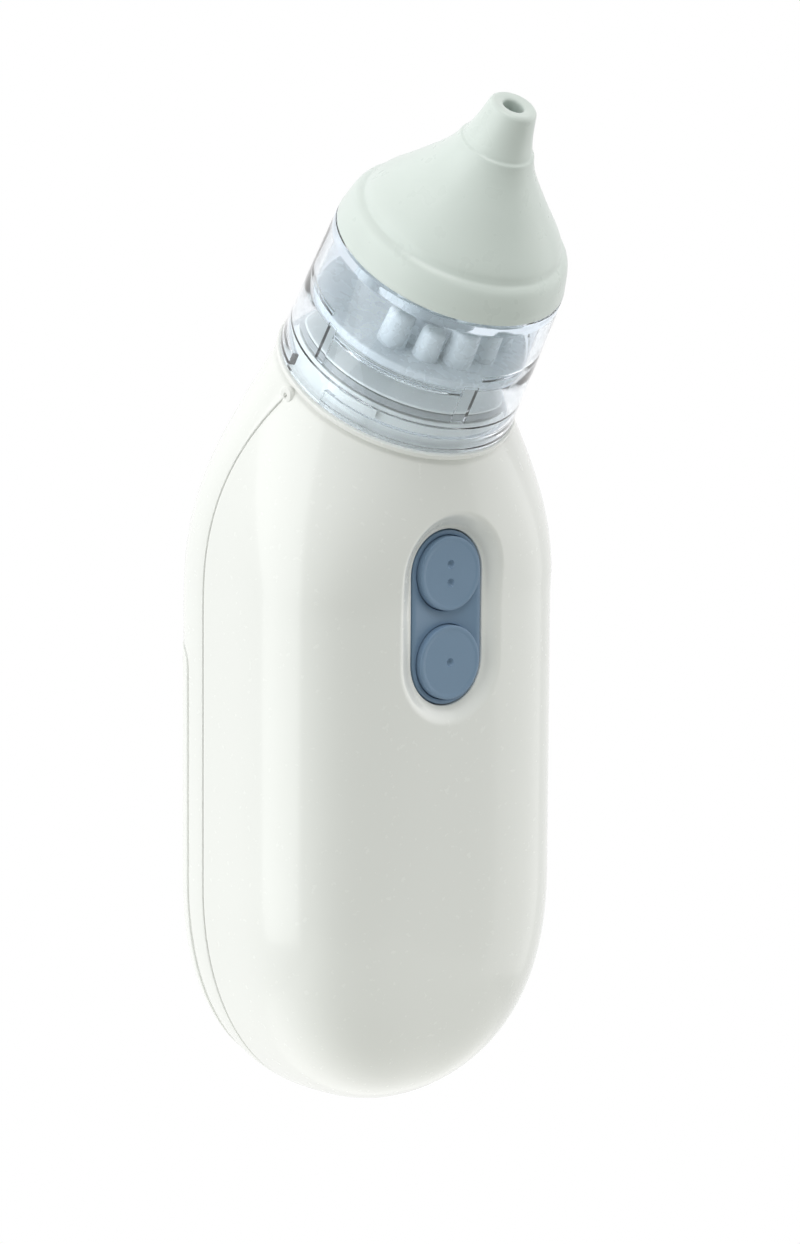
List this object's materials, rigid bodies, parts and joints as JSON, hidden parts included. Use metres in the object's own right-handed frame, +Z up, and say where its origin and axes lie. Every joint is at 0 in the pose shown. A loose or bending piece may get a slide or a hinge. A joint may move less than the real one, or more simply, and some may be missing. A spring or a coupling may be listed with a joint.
{
  "type": "nasal aspirator",
  "caption": "Battery nasal aspirator: pebble-shaped handle with tilted neck, clear twist-off cup, soft conical silicone tip, press buttons and a slide-off battery door.",
  "frame": {"origin": "bottom of the upright handle, centred under the whole object's box", "axes": "+Z up along the handle, -Y the button side towards which the neck leans, +X across the handle"},
  "size_m": [0.0574, 0.0585, 0.1672],
  "materials": {
    "white_gloss": "high-gloss moulded ABS",
    "blue_grey": "satin moulded plastic",
    "clear_plastic": "polished clear polycarbonate, faint blue tint",
    "frosted_plastic": "frosted clear plastic",
    "silicone": "translucent satin silicone",
    "grey_plastic": "engineering plastic",
    "black_rubber": "matt rubber",
    "steel": "plated steel",
    "brass": "machined brass",
    "copper": "copper winding",
    "ferrite": "sintered ferrite and black moulding",
    "board_green": "solder-masked board",
    "cell_wrap": "shrink-wrapped steel cell",
    "foam": "open-cell foam",
    "red_wire": "PVC insulation",
    "black_wire": "PVC insulation"
  },
  "bodies": {
    "handset": {"back_shell": "white_gloss", "battery_1": "cell_wrap", "battery_2": "cell_wrap", "battery_lead_minus": "black_wire", "battery_lead_plus": "red_wire", "battery_spring_1": "steel", "battery_spring_2": "steel", "board_screw_1": "steel", "board_screw_2": "steel", "button_plate": "blue_grey", "case_screw_1": "steel", "case_screw_2": "steel", "case_screw_3": "steel", "case_screw_4": "steel", "contact_bridge": "steel", "contact_minus": "steel", "contact_plus": "steel", "control_board": "board_green", "exhaust_silencer": "foam", "front_shell": "white_gloss", "high_switch": "ferrite", "low_switch": "ferrite", "magnet_1": "ferrite", "magnet_2": "ferrite", "motor_can": "steel", "motor_end_cap": "white_gloss", "motor_lead_minus": "black_wire", "motor_lead_plus": "red_wire", "motor_sleeve": "black_rubber", "neck_spigot": "white_gloss", "port_filter": "foam", "pump_cover": "grey_plastic", "pump_diaphragm": "black_rubber", "pump_housing": "grey_plastic", "pump_screw_1": "steel", "pump_screw_2": "steel", "pump_screw_3": "steel", "pump_screw_4": "steel", "spigot_seal": "grey_plastic", "suction_hose": "silicone", "valve_plate": "frosted_plastic"},
    "cup": {"collection_cup": "clear_plastic", "cup_insert": "frosted_plastic", "splash_guard": "frosted_plastic"},
    "tip": {"nozzle_tip": "silicone"},
    "high_key": {"high_button": "blue_grey", "high_plunger": "brass"},
    "low_key": {"low_button": "blue_grey", "low_plunger": "brass"},
    "door": {"battery_door": "white_gloss"},
    "rotor": {"motor_shaft": "steel", "motor_armature": "copper", "crank_hub": "brass"},
    "rod": {"connecting_rod": "grey_plastic", "rod_clamp": "steel"}
  },
  "joints": [
    {"name": "cup_twist", "type": "hinge", "parent": "handset", "child": "cup", "pos_m": [0, 0.00271, 0.12], "axis": [0, -0.5373, 0.8434], "range_deg": [0, 32]},
    {"name": "tip_pull", "type": "slide", "parent": "cup", "child": "tip", "axis": [0, -0.5373, 0.8434], "range_m": [0, 0.03]},
    {"name": "high_press", "type": "slide", "parent": "handset", "child": "high_key", "axis": [0, 1, 0], "range_m": [0, 0.0008], "stiffness_N_per_m": 2000},
    {"name": "low_press", "type": "slide", "parent": "handset", "child": "low_key", "axis": [0, 1, 0], "range_m": [0, 0.0008], "stiffness_N_per_m": 2000},
    {"name": "door_slide", "type": "slide", "parent": "handset", "child": "door", "axis": [0, 0, -1], "range_m": [0, 0.078]},
    {"name": "rotor_spin", "type": "hinge", "parent": "handset", "child": "rotor", "pos_m": [0, 0.01391, 0.0875], "axis": [1, 0, 0], "continuous": true},
    {"name": "rod_stroke", "type": "slide", "parent": "handset", "child": "rod", "axis": [0, 0, 1], "range_m": [-0.0008, 0.0008]}
  ]
}
